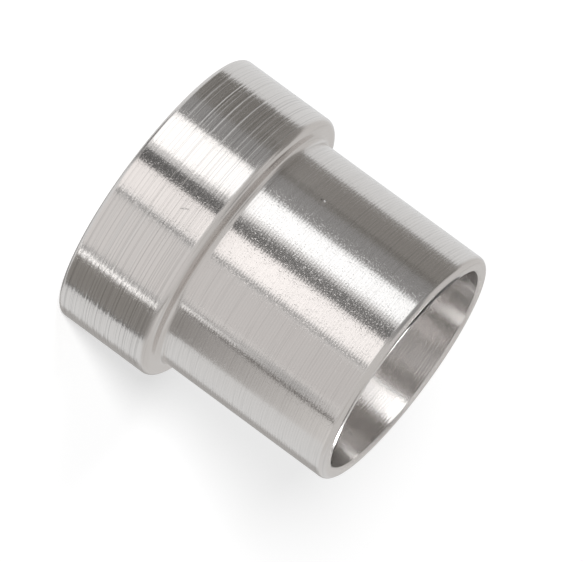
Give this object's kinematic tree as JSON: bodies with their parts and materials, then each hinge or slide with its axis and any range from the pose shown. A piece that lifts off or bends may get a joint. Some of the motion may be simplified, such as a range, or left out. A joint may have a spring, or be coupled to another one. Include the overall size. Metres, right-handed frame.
{
  "type": "tube sleeve",
  "caption": "Short turned metal sleeve for flared tube: thick collar with a shoulder and a conical seat, thinner plain tail, straight bore.",
  "frame": {"origin": "centre of the collar's end face, which the sleeve stands on", "axes": "+Z along the sleeve's axis, from the collar to the mouth of the tail; the part is round, so X and Y are free"},
  "size_m": [0.0126, 0.0126, 0.0128],
  "materials": {
    "metal": "bright silvery metal, turned: coarse uneven tool marks on the collar, very fine ones on the tail and in the bore"
  },
  "bodies": {
    "root": {"sleeve": "metal"}
  },
  "joints": []
}
